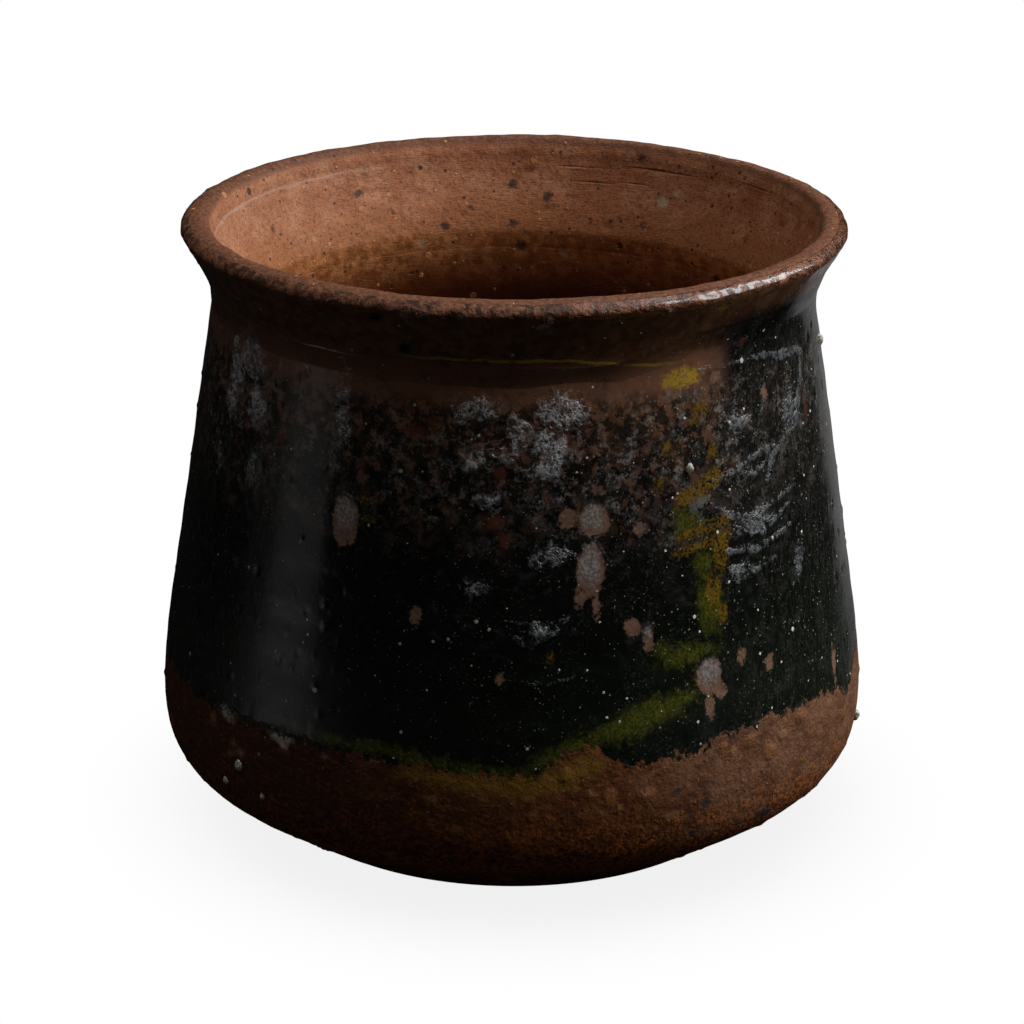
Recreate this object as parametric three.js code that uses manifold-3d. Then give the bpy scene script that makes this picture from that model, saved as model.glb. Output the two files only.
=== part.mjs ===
// A thrown stoneware pot with a flared rim, a poured dark glaze outside, a thin glaze lining
// inside, and the larger grains of stone that stand out of its wall.
// Millimetres, +Z up, origin at the middle of the foot.
// A turn is in degrees round the pot: 0 is the front, at -Y, and it grows towards +X.
import * as THREE from 'three';
import { mergeVertices } from 'three/addons/utils/BufferGeometryUtils.js';
import Module from 'manifold-3d';

// Foot: a flat ring round a shallow hollow, left by the cutting wire
const footRadius = 44.4;
const footRingWidth = 8;
const hollowDepth = 1.2;

// Lower wall: a bevel trimmed from the edge of the foot, then the round of the belly
const bevelRise = 34;
const bevelLength = 16.4;
const bevelPull = 8.2;
const wallFootRadius = 63.6;
const wallFootHeight = 37.7;
const wallFootPull = 23;

// Upper wall: a straight taper, then the round of the neck out to the rim's widest point
const taperHeight = 49;
const wallTopRadius = 55.7;
const wallTopPull = 14.6;
const flareHeight = 24.6;
const rimRadius = 60;
const rimSlope = 59;
const rimPull = 13.2;

// Rim: a rounded roll, with a fine groove cut round the inside of the flare
const crestWidth = 3.3;
const crestRise = 2.2;
const innerRoll = 2.4;
const rollFullness = 0.55;
const grooveDrop = 2.3;
const grooveWidth = 1.9;
const grooveDepth = 0.45;

// Inside of the clay: the throat, the wall under it, and the round corner of the floor
const throatDrop = 15;
const throatWall = 6;
const throatPull = 6;
const flareHollow = 0.8;
const bellyWall = 6.4;
const floorThickness = 7.5;
const floorCornerRise = 22.5;
const floorRadius = 34;
const floorPull = 16;

// Gap between pieces that touch
const seatGap = 0.3;

// Outer glaze: its coat, the bead above its lower edge, and its upper edge, higher on the right
const glazeThickness = 0.55;
const glazeBead = 0.25;
const glazeBeadRise = 1.3;
const glazeTopThickness = 0.3;
const glazeFoot = 32.5;
const glazeTopDrop = 8.7;
const glazeTopDropRight = 4;
const glazeRightTurn = 84;
const glazeRightSpan = 46;
const glazeRightBlend = 22;

// Throwing rings: finger-wide hollows between low ridges, which show through the glaze
const ringPitch = 9;
const ringRidge = 0.35;
const ringHollow = 0.35;

// Waves of its lower edge: a run of glaze hangs below it, and bare clay climbs where drop is negative
const glazeWaves = [
  { turn: 3, drop: 1.8, width: 6 },
  { turn: 12, drop: -4.4, width: 6 },
  { turn: 46, drop: -3.2, width: 14 },
  { turn: 72, drop: 3.2, width: 9 },
  { turn: 112, drop: 3.6, width: 10 },
  { turn: 136, drop: -2.4, width: 12 },
  { turn: 163, drop: 6.2, width: 8 },
  { turn: 188, drop: -2, width: 10 },
  { turn: 214, drop: 3, width: 10 },
  { turn: 238, drop: -1.8, width: 9 },
  { turn: 262, drop: 2.2, width: 12 },
];

// Lining: a thin coat that starts just below the throat
const linerThickness = 0.5;
const linerDrop = 2;

// Stones, each by its place on the wall, its size, and how far it stands out of the surface
const stones = [
  { name: 'pale_stone_foot_large', turn: -47.3, height: 23.8, wide: 2.2, tall: 2.6, proud: 0.6 },
  { name: 'pale_stone_foot_middle', turn: -51, height: 19.4, wide: 1.6, tall: 1.8, proud: 0.5 },
  { name: 'pale_stone_foot_small', turn: -42, height: 19.8, wide: 1.5, tall: 1.6, proud: 0.5 },
  { name: 'pale_stone_neck', turn: -61.4, height: 96.6, wide: 1.7, tall: 2.6, proud: 0.5 },
  { name: 'pale_stone_streak', turn: 31.5, height: 81.6, wide: 1.8, tall: 2, proud: 0.4 },
  { name: 'grit_burr_shoulder', turn: 83, height: 91.5, wide: 2.6, tall: 2.4, proud: 1.3 },
  { name: 'grit_burr_foot', turn: 80, height: 19.5, wide: 2, tall: 2.2, proud: 0.8 },
];

// Steps round the pot, along the curves of its outside, inside and rim, and up the glaze's clay face
const turnSteps = 60;
const outsideSteps = 8;
const insideSteps = 6;
const rimSteps = 4;
const glazeClayRows = 8;
const collarRows = 2;

const wasm = await Module();
wasm.setup();

const radians = THREE.MathUtils.degToRad;
const wallTopHeight = wallFootHeight + taperHeight;
const rimHeight = wallTopHeight + flareHeight;
const throatHeight = rimHeight - throatDrop;

// Points of a stretch of outline, as radius and height, drawn on from its first point
function outline(start, steps, draw) {
  const path = new THREE.Path();
  path.moveTo(start.x, start.y);
  draw(path);
  return path.getPoints(steps);
}

// The point of a rising outline at a given height
function pointAtHeight(points, height) {
  const above = points.findIndex((point) => point.y >= height);
  const upper = above < 1 ? points.length - 1 : above;
  const low = points[upper - 1];
  const high = points[upper];
  return low.clone().lerp(high, (height - low.y) / (high.y - low.y));
}

// An outline moved sideways: to its right, which is out of the clay, when the distance is positive
function movedOut(points, distance) {
  return points.map((point, index) => {
    const before = points[Math.max(index - 1, 0)];
    const after = points[Math.min(index + 1, points.length - 1)];
    const along = after.clone().sub(before).normalize();
    return new THREE.Vector2(point.x + along.y * distance, point.y - along.x * distance);
  });
}

// The clay's outside: bevel, belly, taper and neck, up to the widest point of the rim
const outside = outline(new THREE.Vector2(footRadius, 0), outsideSteps, (path) => {
  const rise = radians(bevelRise);
  const slope = radians(rimSlope);
  const taper = new THREE.Vector2(wallTopRadius - wallFootRadius, taperHeight).normalize();
  path.lineTo(footRadius + bevelLength * Math.cos(rise), bevelLength * Math.sin(rise));
  path.bezierCurveTo(
    footRadius + (bevelLength + bevelPull) * Math.cos(rise), (bevelLength + bevelPull) * Math.sin(rise),
    wallFootRadius - wallFootPull * taper.x, wallFootHeight - wallFootPull * taper.y,
    wallFootRadius, wallFootHeight,
  );
  path.lineTo(wallTopRadius, wallTopHeight);
  path.bezierCurveTo(
    wallTopRadius + wallTopPull * taper.x, wallTopHeight + wallTopPull * taper.y,
    rimRadius - rimPull * Math.cos(slope), rimHeight - rimPull * Math.sin(slope),
    rimRadius, rimHeight,
  );
});

// The point at a given height that stands out of the clay by a distance
function wallPoint(height, standsOut) {
  return pointAtHeight(movedOut(outside, standsOut), height);
}

const throat = new THREE.Vector2(wallPoint(throatHeight, 0).x - throatWall, throatHeight);

// The rim's roll and the grooved flare inside it, down to the throat
const flare = outline(outside.at(-1), rimSteps, (path) => {
  const crestRadius = rimRadius - crestWidth;
  const crestHeight = rimHeight + crestRise;
  const roll = new THREE.Vector2(crestRadius - innerRoll, crestHeight - innerRoll);
  const onFlare = (height) => throat.x + (roll.x - throat.x) * (height - throat.y) / (roll.y - throat.y);
  const grooveHeight = rimHeight - grooveDrop;
  const grooveTop = grooveHeight + grooveWidth / 2;
  const grooveFoot = grooveHeight - grooveWidth / 2;
  path.bezierCurveTo(
    rimRadius, rimHeight + crestRise * rollFullness,
    crestRadius + crestWidth * rollFullness, crestHeight,
    crestRadius, crestHeight,
  );
  path.bezierCurveTo(
    crestRadius - innerRoll * rollFullness, crestHeight,
    roll.x, roll.y + innerRoll * rollFullness,
    roll.x, roll.y,
  );
  path.lineTo(onFlare(grooveTop), grooveTop);
  path.lineTo(onFlare(grooveHeight) + grooveDepth, grooveHeight);
  path.lineTo(onFlare(grooveFoot), grooveFoot);
  path.quadraticCurveTo(
    (onFlare(grooveFoot) + throat.x) / 2 - flareHollow, (grooveFoot + throat.y) / 2,
    throat.x, throat.y,
  );
});

// The clay's inside, from the throat down the wall, round the corner and in to the axis
const inside = outline(throat, insideSteps, (path) => {
  const cornerHeight = floorThickness + floorCornerRise;
  const cornerRadius = wallPoint(cornerHeight, 0).x - bellyWall;
  path.bezierCurveTo(
    throat.x, throat.y - throatPull,
    cornerRadius, cornerHeight + floorPull,
    cornerRadius, cornerHeight,
  );
  path.bezierCurveTo(
    cornerRadius, cornerHeight - floorPull,
    floorRadius + floorPull, floorThickness,
    floorRadius, floorThickness,
  );
  path.lineTo(0, floorThickness);
});

// The hollow under the foot, from the axis out to the flat ring
const hollow = outline(new THREE.Vector2(0, hollowDepth), rimSteps, (path) => {
  const hollowRadius = footRadius - footRingWidth;
  path.quadraticCurveTo(hollowRadius / 2, hollowDepth, hollowRadius, 0);
});

// The lining, from the axis out over the floor, up to its edge, and back down its open face
function liningOutline() {
  const top = throatHeight - linerDrop;
  const rising = inside.toReversed();
  const covered = [pointAtHeight(rising, top), ...inside.filter((point) => point.y < top)];
  const clayFace = movedOut(covered, seatGap);
  const openFace = movedOut(covered, seatGap + linerThickness);
  return [...clayFace.reverse(), ...openFace];
}

// Degrees between two turns, the short way round
function turnBetween(turn, other) {
  return Math.abs(((turn - other + 540) % 360) - 180);
}

function glazeFootAt(turn) {
  const drops = glazeWaves.map((wave) => wave.drop * Math.exp(-((turnBetween(turn, wave.turn) / wave.width) ** 2)));
  return glazeFoot - drops.reduce((sum, drop) => sum + drop, 0);
}

function glazeTopAt(turn) {
  const away = turnBetween(turn, glazeRightTurn);
  const share = THREE.MathUtils.smoothstep(away, glazeRightSpan, glazeRightSpan + glazeRightBlend);
  return rimHeight - THREE.MathUtils.lerp(glazeTopDropRight, glazeTopDrop, share);
}

// The heights between which the glaze is whole all round, and the rows of each ring between them
const everyTurn = Array.from({ length: turnSteps }, (_, step) => 360 * step / turnSteps);
const ringFoot = Math.max(...everyTurn.map(glazeFootAt)) + 2 * glazeBeadRise;
const ringTop = Math.min(...everyTurn.map(glazeTopAt));
const ringCount = Math.floor((ringTop - ringFoot) / ringPitch);
const ringRows = Array.from({ length: ringCount }, (_, ring) => ringFoot + ring * ringPitch)
  .flatMap((ridge) => [ridge, ridge + ringHollow * ringPitch, ridge + (1 - ringHollow) * ringPitch]);

// What the throwing rings add to the glaze at a height: most on a ridge, nothing in a hollow
function ridgeAt(height) {
  const share = THREE.MathUtils.euclideanModulo((height - ringFoot) / ringPitch, 1);
  return ringRidge * Math.max(0, 1 - Math.min(share, 1 - share) / ringHollow);
}

// Heights from one to another in equal rows, without the first
function rowsBetween(low, high, rows) {
  return Array.from({ length: rows }, (_, row) => THREE.MathUtils.lerp(low, high, (row + 1) / rows));
}

// The outer glaze's section, up its open face and down the face against the clay
function glazeSection(turn) {
  const foot = glazeFootAt(turn);
  const top = glazeTopAt(turn);
  const beadTop = foot + 2 * glazeBeadRise;
  const open = (height, thickness) => wallPoint(height, seatGap + thickness);
  const openFace = [
    open(foot, glazeThickness),
    open(foot + glazeBeadRise, glazeThickness + glazeBead),
    open(beadTop, glazeThickness),
    ...ringRows.map((height) => open(height, glazeThickness + ridgeAt(height))),
    ...rowsBetween(ringRows.at(-1), top, collarRows).map((height) => open(height, glazeThickness)),
  ];
  openFace[openFace.length - 1] = open(top, glazeTopThickness);
  const clayHeights = [foot, beadTop, ...rowsBetween(beadTop, top, glazeClayRows)];
  return [...openFace, ...clayHeights.map((height) => wallPoint(height, seatGap)).reverse()];
}

// An outline turned round the upright axis
function turned(points) {
  return new THREE.LatheGeometry(points, turnSteps).rotateX(Math.PI / 2);
}

// A closed section that changes from turn to turn, joined into one skin round the pot
function turnedRing(sectionAt) {
  const sections = everyTurn.map(sectionAt);
  const rows = sections[0].length;
  const positions = sections.flatMap((section, step) => {
    const turn = radians(everyTurn[step]);
    return section.flatMap(({ x, y }) => [x * Math.sin(turn), -x * Math.cos(turn), y]);
  });
  const faces = [];
  for (let step = 0; step < turnSteps; step += 1) {
    const next = (step + 1) % turnSteps;
    for (let row = 0; row < rows; row += 1) {
      const above = (row + 1) % rows;
      const corners = [step * rows + row, next * rows + row, next * rows + above, step * rows + above];
      faces.push(corners[0], corners[1], corners[2], corners[0], corners[2], corners[3]);
    }
  }
  const geometry = new THREE.BufferGeometry();
  geometry.setAttribute('position', new THREE.Float32BufferAttribute(positions, 3));
  geometry.setIndex(faces);
  return geometry;
}

// A grain melted round, grown all over by a margin to make the pocket that it sits in
function stoneGeometry({ turn, height, wide, tall, proud }, margin) {
  const coat = height > glazeFootAt(turn) ? seatGap + glazeThickness + ridgeAt(height) : 0;
  const surface = wallPoint(height, coat).x;
  const geometry = new THREE.IcosahedronGeometry(1, 1);
  geometry.scale(wide / 2 + margin, wide / 2 + margin, tall / 2 + margin);
  geometry.translate(0, wide / 2 - proud - surface, height);
  geometry.rotateZ(radians(turn));
  return geometry;
}

// A closed geometry as a solid that can be cut, with the folded faces at its poles left out
function toSolid(geometry) {
  const bare = geometry.clone();
  bare.deleteAttribute('normal');
  bare.deleteAttribute('uv');
  const merged = mergeVertices(bare, 1e-5);
  const index = merged.getIndex().array;
  const triVerts = [];
  for (let face = 0; face < index.length; face += 3) {
    const [a, b, c] = index.slice(face, face + 3);
    if (a !== b && b !== c && c !== a) triVerts.push(a, b, c);
  }
  const vertProperties = merged.getAttribute('position').array;
  return new wasm.Manifold(new wasm.Mesh({ numProp: 3, vertProperties, triVerts: new Uint32Array(triVerts) }));
}

function toGeometry(solid) {
  const mesh = solid.getMesh();
  const geometry = new THREE.BufferGeometry();
  geometry.setAttribute('position', new THREE.BufferAttribute(mesh.vertProperties, 3));
  geometry.setIndex(new THREE.BufferAttribute(mesh.triVerts, 1));
  geometry.computeVertexNormals();
  return geometry;
}

function withPockets(geometry) {
  const pockets = stones.map((stone) => toSolid(stoneGeometry(stone, seatGap)));
  return toGeometry(pockets.reduce((solid, pocket) => solid.subtract(pocket), toSolid(geometry)));
}

const pot = new THREE.Group();

function addPiece(name, geometry, color, roughness) {
  const finish = new THREE.MeshStandardMaterial({ color, roughness, metalness: 0 });
  const piece = new THREE.Mesh(geometry, finish);
  piece.name = name;
  pot.add(piece);
}

const clay = turned([...hollow, ...outside, ...flare.slice(1), ...inside.slice(1)]);
addPiece('stoneware_body', withPockets(clay), 0x6e3d28, 0.85);
addPiece('dark_glaze', withPockets(turnedRing(glazeSection)), 0x15140f, 0.2);
addPiece('liner_glaze', turned(liningOutline()), 0x5c3119, 0.35);
stones.forEach((stone) => addPiece(stone.name, stoneGeometry(stone, 0), 0xb5a893, 0.6));

export default pot;
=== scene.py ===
import math
import random

import bmesh
import bpy
import numpy as np
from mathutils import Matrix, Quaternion, Vector, noise


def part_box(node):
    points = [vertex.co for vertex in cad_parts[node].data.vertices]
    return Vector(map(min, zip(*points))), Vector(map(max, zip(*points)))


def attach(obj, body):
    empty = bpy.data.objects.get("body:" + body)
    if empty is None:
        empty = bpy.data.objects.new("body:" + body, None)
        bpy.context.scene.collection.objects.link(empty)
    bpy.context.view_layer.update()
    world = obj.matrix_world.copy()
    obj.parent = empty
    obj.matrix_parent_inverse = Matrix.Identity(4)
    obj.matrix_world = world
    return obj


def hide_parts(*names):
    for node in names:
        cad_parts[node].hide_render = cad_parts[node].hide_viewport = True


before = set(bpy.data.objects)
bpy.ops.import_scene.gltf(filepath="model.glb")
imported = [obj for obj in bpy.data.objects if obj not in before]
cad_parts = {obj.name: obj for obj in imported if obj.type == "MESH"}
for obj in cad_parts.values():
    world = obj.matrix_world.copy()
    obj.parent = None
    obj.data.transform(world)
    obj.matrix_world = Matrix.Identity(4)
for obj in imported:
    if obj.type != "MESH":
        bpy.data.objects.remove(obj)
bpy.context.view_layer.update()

# The clay body
# One piece of red-brown gritty stoneware, thrown on the wheel: a flat foot, a bevel trimmed above it,
# a low full belly, a straight taper to a narrow neck, and a flared rim with a rounded lip.
# Inside, a grooved flare drops to the throat, and the wall runs down to a flat floor.
MM = 0.001
LIP_TOP = 113.5
FOOT = (44.4, 0.0)
BEVEL_RISE, BEVEL_LENGTH, BEVEL_PULL = math.radians(34), 16.4, 8.2
BELLY_TOP, BELLY_PULL = (64.2, 37.7), 22.0
NECK_FOOT, NECK_PULL = (56.45, 86.7), 14.6
RIM, RIM_SLOPE, RIM_PULL = (60.0, 111.3), math.radians(59), 13.2
LIP_WIDTH = 3.3
THROAT = (48.9, 96.3)
LINING_TOP = THROAT[1] - 2.2
GROOVE, GROOVE_DEPTH = (53.95, 109.1), 0.12
CORNER, FLOOR = (58.2, 30.0), (34.0, 7.6)
HOLLOW_RADIUS, HOLLOW_DEPTH = 36.4, 1.2
RING_PITCH, RING_START, RING_RELIEF = 9.0, 39.5, 0.04
CLAY_STEPS = 400
COAT_RECESS = 0.42
SWELL, SWELL_SIZE = 0.22, 42
UNEVEN, UNEVEN_SIZE = 0.05, 10
SKIN_LUMPS, LIP_LUMPS = (2.4, 2, 7.3), (5, 2, 9.0)
CLAY_LUMPINESS, LIP_LUMPINESS = 0.05, 0.16
TURNING_DEPTH, TURNING_PITCH = 0.04, 1.7
WIRE_DEPTH, WIRE_PITCH, WIRE_CENTRE = 0.06, 2.6, (30, -14)


def curve(start, pull_start, pull_end, end, rows):
    """The points of a cubic curve after its start, as (radius, height)."""
    shares = np.linspace(0, 1, rows + 1)[1:, None]
    near, far = np.array(pull_start), np.array(pull_end)
    points = (1 - shares) ** 3 * start + 3 * (1 - shares) ** 2 * shares * near
    points = points + 3 * (1 - shares) * shares**2 * far + shares**3 * end
    return [tuple(point) for point in points]


def straight(start, end, rows):
    shares = np.linspace(0, 1, rows + 1)[1:, None]
    return [tuple(point) for point in np.array(start) + shares * (np.array(end) - start)]


def ahead(point, angle, distance):
    return (point[0] + distance * math.cos(angle), point[1] + distance * math.sin(angle))


def turn_on_wheel(name, outline, steps):
    """Draws an outline of (radius, height) points by extruding one corner, and turns it round the axis."""
    bpy.ops.object.select_all(action="DESELECT")
    bpy.ops.mesh.primitive_plane_add(size=MM)
    piece = bpy.context.object
    piece.name = piece.data.name = name
    bpy.ops.object.mode_set(mode="EDIT")
    bpy.ops.mesh.select_all(action="SELECT")
    bpy.ops.mesh.merge(type="CENTER")
    bpy.ops.transform.translate(value=(outline[0][0] * MM, 0, outline[0][1] * MM))
    for (radius, height), (next_radius, next_height) in zip(outline, outline[1:]):
        way = ((next_radius - radius) * MM, 0, (next_height - height) * MM)
        bpy.ops.mesh.extrude_region_move(TRANSFORM_OT_translate={"value": way})
    bpy.ops.object.mode_set(mode="OBJECT")
    wheel = piece.modifiers.new("wheel", "SCREW")
    wheel.steps = wheel.render_steps = steps
    bpy.ops.object.modifier_apply(modifier="wheel")
    bpy.ops.object.mode_set(mode="EDIT")
    bpy.ops.mesh.select_all(action="SELECT")
    bpy.ops.mesh.remove_doubles(threshold=0.004 * MM)
    bpy.ops.mesh.normals_make_consistent(inside=False)
    shell = bmesh.from_edit_mesh(piece.data)
    if shell.calc_volume(signed=True) < 0:
        bpy.ops.mesh.flip_normals()
    bpy.ops.object.mode_set(mode="OBJECT")
    bpy.ops.object.shade_smooth()
    return piece


def read(piece, what):
    values = np.empty(len(piece.data.vertices) * 3, np.float32)
    piece.data.vertices.foreach_get(what, values)
    return values.reshape(-1, 3).astype(float)


def lay(piece, turn, height, radius):
    """Puts each vertex at its own turn, height and radius."""
    around = np.radians(turn)
    places = np.stack([radius * np.sin(around), -radius * np.cos(around), height], 1) * MM
    piece.data.vertices.foreach_set("co", places.astype(np.float32).ravel())
    piece.data.update()


def whereabouts(piece):
    """Each vertex's turn in degrees from the front, and its height and radius in millimetres."""
    x, y, z = read(piece, "co").T / MM
    return np.degrees(np.arctan2(x, -y)), z, np.hypot(x, y)


def lumps(piece, size, octaves=1, seed=0.0):
    """Smooth random relief from about -1 to 1, its lumps about as wide as the size in millimetres."""
    shift = Vector((seed, 1.7 * seed, -seed))
    scale = 1 / (size * MM)
    return np.array([noise.fractal(v.co * scale + shift, 1.0, 2.0, octaves) for v in piece.data.vertices])


def unevenness(piece):
    """The soft swellings of the wall, which all three layers share."""
    return SWELL * lumps(piece, SWELL_SIZE) + UNEVEN * lumps(piece, UNEVEN_SIZE, 2, 3.1)


def press(piece, depth):
    """Moves each vertex out along its normal by its own depth in millimetres."""
    moved = read(piece, "co") + read(piece, "normal") * depth[:, None] * MM
    piece.data.vertices.foreach_set("co", moved.astype(np.float32).ravel())
    piece.data.update()


def ramp(value, low, high):
    share = np.clip((value - low) / (high - low), 0, 1)
    return share * share * (3 - 2 * share)


def apart(turn, other):
    """The turn from one place to another the short way round, in degrees."""
    return (turn - other + 180) % 360 - 180


taper = math.atan2(NECK_FOOT[1] - BELLY_TOP[1], NECK_FOOT[0] - BELLY_TOP[0])
bevel_top = ahead(FOOT, BEVEL_RISE, BEVEL_LENGTH)
belly_pulls = ahead(bevel_top, BEVEL_RISE, BEVEL_PULL), ahead(BELLY_TOP, taper, -BELLY_PULL)
belly = curve(bevel_top, *belly_pulls, BELLY_TOP, 42)
neck = curve(NECK_FOOT, ahead(NECK_FOOT, taper, NECK_PULL), ahead(RIM, RIM_SLOPE, -RIM_PULL), RIM, 40)
outside = [FOOT, *straight(FOOT, bevel_top, 24), *belly, *straight(BELLY_TOP, NECK_FOOT, 20), *neck]
crest = (RIM[0] - LIP_WIDTH, LIP_TOP)
lip = curve(RIM, (RIM[0], RIM[1] + 1.3), (crest[0] + 1.9, LIP_TOP), crest, 10)
lip += curve(crest, (crest[0] - 1.2, LIP_TOP), (55.0, 112.6), (54.5, 111.2), 8)
flare = [(54.2, 110.3), (GROOVE[0] + GROOVE_DEPTH, GROOVE[1]), (53.6, 108.3)]
flare += curve(flare[-1], (52.3, 104.0), (50.0, 100.2), THROAT, 24)
wall_pulls = (THROAT[0] - 0.2, THROAT[1] - 6), (CORNER[0], CORNER[1] + 18)
floor_pulls = (CORNER[0], CORNER[1] - 16), (FLOOR[0] + 16, FLOOR[1])
inner_wall = curve(THROAT, *wall_pulls, CORNER, 30) + curve(CORNER, *floor_pulls, FLOOR, 14)
hollow = curve((0, HOLLOW_DEPTH), (12, HOLLOW_DEPTH), (26, 0.9), (HOLLOW_RADIUS, 0), 12)
foot_ring = [(38.5, 0), (41.5, 0), (43.7, 0), (44.2, 0.06)]
floor_rings = [(24, FLOOR[1]), (12, FLOOR[1]), (4, FLOOR[1]), (0, FLOOR[1])]
clay_outline = [
    (0, HOLLOW_DEPTH), *hollow, *foot_ring, *outside[1:], *lip, *flare, *inner_wall, *floor_rings,
]
clay = turn_on_wheel("clay_body", clay_outline, CLAY_STEPS)


def wall_radius(height):
    return np.interp(height, [point[1] for point in outside], [point[0] for point in outside])


# Where runs of glaze hang below the line, and bare clay climbs above it: turn, drop and width
DRIP_LINE = 32.6
DRIPS = [
    (-66, 1.0, 7), (-8, 1.3, 4), (1.5, 2.3, 4), (11, -4.2, 4.5), (20, 1.5, 3), (43, -1.6, 12), (70, 3.4, 5),
    (112, 3.6, 10), (136, -2.4, 12), (163, 6.2, 8), (188, -2, 10), (214, 3, 10), (238, -1.8, 9),
    (262, 2.2, 12),
]
GLAZE_TOP, GLAZE_TOP_RIGHT = 102.6, 107.3
RIGHT_TURN, RIGHT_SPAN, RIGHT_BLEND = 84, 46, 22
FRINGE = [(1.1, 26), (0.6, 70)]


def drip_edge(turn):
    """The height of the glaze's lower edge at a turn, with its smooth runs and its ragged fringe."""
    height = np.full(len(turn), DRIP_LINE)
    for place, drop, width in DRIPS:
        height -= drop * np.exp(-((apart(turn, place) / width) ** 2))
    around = [Vector((math.sin(a), math.cos(a), 0)) for a in np.radians(turn)]
    return height + np.array([sum(reach * noise.noise(p * often) for reach, often in FRINGE) for p in around])


def top_edge(turn):
    share = ramp(np.abs(apart(turn, RIGHT_TURN)), RIGHT_SPAN, RIGHT_SPAN + RIGHT_BLEND)
    return GLAZE_TOP_RIGHT + (GLAZE_TOP - GLAZE_TOP_RIGHT) * share


# The value outside every mark, the radius that marks are laid out on, and a bump's reach and fall
FAR_OUTSIDE, MEAN_RADIUS, BUMP_REACH, BUMP_FALL = -4.0, 60, 3, 1.4


def store(piece, name, values):
    """Keeps one number for each vertex, for the piece's finish to read."""
    layer = piece.data.attributes.new(name, "FLOAT", "POINT")
    layer.data.foreach_set("value", values.astype(np.float32))


def scatter(count, seed, turns, heights, sizes, aspect=1.0):
    """Marks at random places and of uneven heights, as (turn, height, half width, half height)."""
    draw = random.Random(seed)
    marks = []
    for _ in range(count):
        turn_place, level, size = draw.uniform(*turns), draw.uniform(*heights), draw.uniform(*sizes)
        marks.append((turn_place, level, size, size * aspect * draw.uniform(0.7, 1.5)))
    return marks


def bumps(turn, height, places, rise):
    """The relief of round grains or pits: each as high as its half width times the rise."""
    relief = np.zeros(len(turn))
    for place, level, size, _ in places:
        near = np.flatnonzero(np.abs(height - level) < BUMP_REACH * size)
        across = np.radians(apart(turn[near], place)) * MEAN_RADIUS
        distance = np.hypot(across, height[near] - level) / size
        relief[near] += rise * size * np.exp(-BUMP_FALL * distance**2)
    return relief


def patch(where, marks):
    """How many millimetres each vertex is inside the nearest oval mark, negative outside them all."""
    turn, height, radius = where
    inside = np.full(len(turn), FAR_OUTSIDE)
    for place, level, half_width, half_height in marks:
        across = np.radians(apart(turn, place)) * radius / half_width
        distance = np.hypot(across, (height - level) / half_height)
        inside = np.maximum(inside, (1 - distance) * min(half_width, half_height))
    return inside


def stroke(where, lines):
    """As patch, for lines through points of (turn, height, half width)."""
    turn, height, radius = where
    inside = np.full(len(turn), FAR_OUTSIDE)
    for line in lines:
        for (turn_a, level_a, half_a), (turn_b, level_b, half_b) in zip(line, line[1:]):
            ahead_b = np.array([math.radians(turn_b - turn_a) * MEAN_RADIUS, level_b - level_a])
            across, up = np.radians(apart(turn, turn_a)) * MEAN_RADIUS, height - level_a
            share = np.clip((across * ahead_b[0] + up * ahead_b[1]) / (ahead_b @ ahead_b), 0, 1)
            distance = np.hypot(across - share * ahead_b[0], up - share * ahead_b[1])
            inside = np.maximum(inside, half_a + share * (half_b - half_a) - distance)
    return inside


# The marks of the fire on the outside wall, each a place in degrees of turn and millimetres of height.
# Iron-yellow glaze gathered in a streak down the right, and under the edge
OCHRE = [
    (31, 97.3, 3.9, 1.7), (34.5, 91, 1.3, 1.6), (33, 89.6, 0.8, 0.8), (27, 86, 0.9, 1.2),
    (30, 86.6, 0.6, 0.5), (36.5, 83.5, 0.8, 1.4), (25.5, 80, 0.7, 0.9), (36.5, 66.5, 1.6, 3.4),
    (34.6, 60, 1.5, 2.8), (30.4, 45.5, 0.9, 1.3), (-26, 77, 1.3, 0.3), (-25, 74, 0.8, 0.4),
    (36, 55.5, 1.0, 1.6), (6, 52.2, 0.5, 0.6), (35, 109.9, 1.6, 0.3), (17.5, 110, 1.3, 0.9),
    (25, 110, 0.9, 0.5),
]
OCHRE_LINES = [
    [(29.5, 76.6, 1.2), (33, 77.6, 1.6), (37, 79.6, 1.5)],
    [(28.4, 70.2, 0.6), (33, 70.8, 0.9), (38, 71.6, 1.2)],
    [(28, 67.6, 0.5), (33, 68.3, 0.6), (38, 69.2, 1.0)],
    [(-17, 31.4, 0.8), (-8, 30.2, 1.4), (2, 29.4, 1.8), (12, 32.6, 1.8)],
]
OLIVE = [
    (17, 110, 1.0, 0.8), (25, 109.9, 0.7, 0.4), (29.8, 72.8, 2.3, 1.8), (33, 64, 1.8, 2.2),
    (33.6, 57, 2.2, 3.6), (28.6, 49.8, 3.8, 1.3), (24.8, 51.2, 1.4, 0.8),
]
OLIVE_LINES = [
    [(-36, 35, 0.4), (-22, 34.6, 0.7), (-8, 32.8, 0.6), (2, 32, 0.8)],
    [(4, 33.8, 0.8), (10, 36.2, 1.3), (17, 39, 2.0), (23, 41, 2.2), (29, 42.6, 1.2)],
]
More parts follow.
